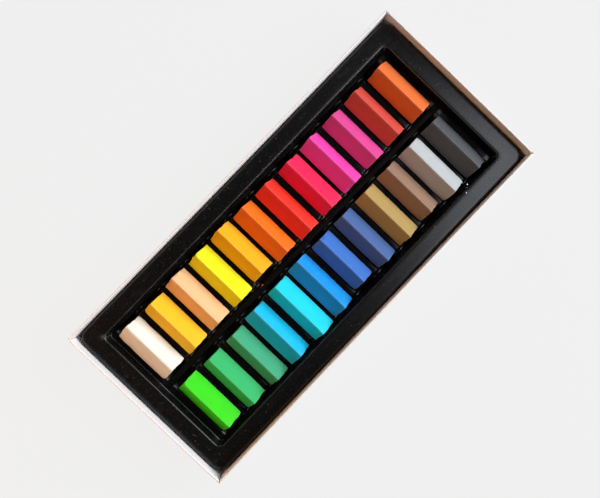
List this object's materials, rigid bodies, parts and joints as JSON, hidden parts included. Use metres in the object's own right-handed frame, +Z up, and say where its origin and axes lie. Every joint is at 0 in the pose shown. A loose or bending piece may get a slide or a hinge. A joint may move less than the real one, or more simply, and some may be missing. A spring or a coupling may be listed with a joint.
{
  "type": "pastel drawer box",
  "caption": "Shallow card tray with a formed black insert that holds two rows of square pastel sticks, each standing on its edge in a groove.",
  "frame": {"origin": "middle of the tray's underside", "axes": "+X along the tray, towards the vermilion and black pastels; +Y across it, towards the row that starts with white; +Z up out of the open top"},
  "size_m": [0.222, 0.1006, 0.019],
  "materials": {
    "white_card": "smooth coated white card, folded, with softened edges",
    "black_sheet": "thin formed black plastic, semi-gloss, dusty with pigment",
    "pastel_white": "pressed chalky pigment, matt, crumbly at the ends",
    "pastel_gold": "pressed chalky pigment, matt, crumbly at the ends",
    "pastel_peach": "pressed chalky pigment, matt, crumbly at the ends",
    "pastel_yellow": "pressed chalky pigment, matt, crumbly at the ends",
    "pastel_amber": "pressed chalky pigment, matt, crumbly at the ends",
    "pastel_orange": "pressed chalky pigment, matt, crumbly at the ends",
    "pastel_red": "pressed chalky pigment, matt, crumbly at the ends",
    "pastel_crimson": "pressed chalky pigment, matt, crumbly at the ends",
    "pastel_magenta": "pressed chalky pigment, matt, crumbly at the ends",
    "pastel_purple": "pressed chalky pigment, matt, crumbly at the ends",
    "pastel_dark_red": "pressed chalky pigment, matt, crumbly at the ends",
    "pastel_vermilion": "pressed chalky pigment, matt, crumbly at the ends",
    "pastel_lime": "pressed chalky pigment, matt, crumbly at the ends",
    "pastel_green": "pressed chalky pigment, matt, crumbly at the ends",
    "pastel_sea_green": "pressed chalky pigment, matt, crumbly at the ends",
    "pastel_turquoise": "pressed chalky pigment, matt, crumbly at the ends",
    "pastel_cyan": "pressed chalky pigment, matt, crumbly at the ends",
    "pastel_sky_blue": "pressed chalky pigment, matt, crumbly at the ends",
    "pastel_ultramarine": "pressed chalky pigment, matt, crumbly at the ends",
    "pastel_navy": "pressed chalky pigment, matt, crumbly at the ends",
    "pastel_ochre": "pressed chalky pigment, matt, crumbly at the ends",
    "pastel_brown": "pressed chalky pigment, matt, crumbly at the ends",
    "pastel_light_grey": "pressed chalky pigment, matt, crumbly at the ends",
    "pastel_black": "pressed chalky pigment, matt, crumbly at the ends"
  },
  "bodies": {
    "carton": {"carton_tray": "white_card"},
    "insert": {"insert_tray": "black_sheet"},
    "white": {"pastel_white": "pastel_white"},
    "gold": {"pastel_gold": "pastel_gold"},
    "peach": {"pastel_peach": "pastel_peach"},
    "yellow": {"pastel_yellow": "pastel_yellow"},
    "amber": {"pastel_amber": "pastel_amber"},
    "orange": {"pastel_orange": "pastel_orange"},
    "red": {"pastel_red": "pastel_red"},
    "crimson": {"pastel_crimson": "pastel_crimson"},
    "magenta": {"pastel_magenta": "pastel_magenta"},
    "purple": {"pastel_purple": "pastel_purple"},
    "dark_red": {"pastel_dark_red": "pastel_dark_red"},
    "vermilion": {"pastel_vermilion": "pastel_vermilion"},
    "lime": {"pastel_lime": "pastel_lime"},
    "green": {"pastel_green": "pastel_green"},
    "sea_green": {"pastel_sea_green": "pastel_sea_green"},
    "turquoise": {"pastel_turquoise": "pastel_turquoise"},
    "cyan": {"pastel_cyan": "pastel_cyan"},
    "sky_blue": {"pastel_sky_blue": "pastel_sky_blue"},
    "ultramarine": {"pastel_ultramarine": "pastel_ultramarine"},
    "navy": {"pastel_navy": "pastel_navy"},
    "ochre": {"pastel_ochre": "pastel_ochre"},
    "brown": {"pastel_brown": "pastel_brown"},
    "light_grey": {"pastel_light_grey": "pastel_light_grey"},
    "black": {"pastel_black": "pastel_black"}
  },
  "joints": [
    {"name": "insert_lift", "type": "slide", "parent": "carton", "child": "insert", "axis": [0, 0, 1], "range_m": [0, 0.025]},
    {"name": "white_lift", "type": "slide", "parent": "insert", "child": "white", "axis": [0, 0, 1], "range_m": [0, 0.025]},
    {"name": "gold_lift", "type": "slide", "parent": "insert", "child": "gold", "axis": [0, 0, 1], "range_m": [0, 0.025]},
    {"name": "peach_lift", "type": "slide", "parent": "insert", "child": "peach", "axis": [0, 0, 1], "range_m": [0, 0.025]},
    {"name": "yellow_lift", "type": "slide", "parent": "insert", "child": "yellow", "axis": [0, 0, 1], "range_m": [0, 0.025]},
    {"name": "amber_lift", "type": "slide", "parent": "insert", "child": "amber", "axis": [0, 0, 1], "range_m": [0, 0.025]},
    {"name": "orange_lift", "type": "slide", "parent": "insert", "child": "orange", "axis": [0, 0, 1], "range_m": [0, 0.025]},
    {"name": "red_lift", "type": "slide", "parent": "insert", "child": "red", "axis": [0, 0, 1], "range_m": [0, 0.025]},
    {"name": "crimson_lift", "type": "slide", "parent": "insert", "child": "crimson", "axis": [0, 0, 1], "range_m": [0, 0.025]},
    {"name": "magenta_lift", "type": "slide", "parent": "insert", "child": "magenta", "axis": [0, 0, 1], "range_m": [0, 0.025]},
    {"name": "purple_lift", "type": "slide", "parent": "insert", "child": "purple", "axis": [0, 0, 1], "range_m": [0, 0.025]},
    {"name": "dark_red_lift", "type": "slide", "parent": "insert", "child": "dark_red", "axis": [0, 0, 1], "range_m": [0, 0.025]},
    {"name": "vermilion_lift", "type": "slide", "parent": "insert", "child": "vermilion", "axis": [0, 0, 1], "range_m": [0, 0.025]},
    {"name": "lime_lift", "type": "slide", "parent": "insert", "child": "lime", "axis": [0, 0, 1], "range_m": [0, 0.025]},
    {"name": "green_lift", "type": "slide", "parent": "insert", "child": "green", "axis": [0, 0, 1], "range_m": [0, 0.025]},
    {"name": "sea_green_lift", "type": "slide", "parent": "insert", "child": "sea_green", "axis": [0, 0, 1], "range_m": [0, 0.025]},
    {"name": "turquoise_lift", "type": "slide", "parent": "insert", "child": "turquoise", "axis": [0, 0, 1], "range_m": [0, 0.025]},
    {"name": "cyan_lift", "type": "slide", "parent": "insert", "child": "cyan", "axis": [0, 0, 1], "range_m": [0, 0.025]},
    {"name": "sky_blue_lift", "type": "slide", "parent": "insert", "child": "sky_blue", "axis": [0, 0, 1], "range_m": [0, 0.025]},
    {"name": "ultramarine_lift", "type": "slide", "parent": "insert", "child": "ultramarine", "axis": [0, 0, 1], "range_m": [0, 0.025]},
    {"name": "navy_lift", "type": "slide", "parent": "insert", "child": "navy", "axis": [0, 0, 1], "range_m": [0, 0.025]},
    {"name": "ochre_lift", "type": "slide", "parent": "insert", "child": "ochre", "axis": [0, 0, 1], "range_m": [0, 0.025]},
    {"name": "brown_lift", "type": "slide", "parent": "insert", "child": "brown", "axis": [0, 0, 1], "range_m": [0, 0.025]},
    {"name": "light_grey_lift", "type": "slide", "parent": "insert", "child": "light_grey", "axis": [0, 0, 1], "range_m": [0, 0.025]},
    {"name": "black_lift", "type": "slide", "parent": "insert", "child": "black", "axis": [0, 0, 1], "range_m": [0, 0.025]}
  ]
}
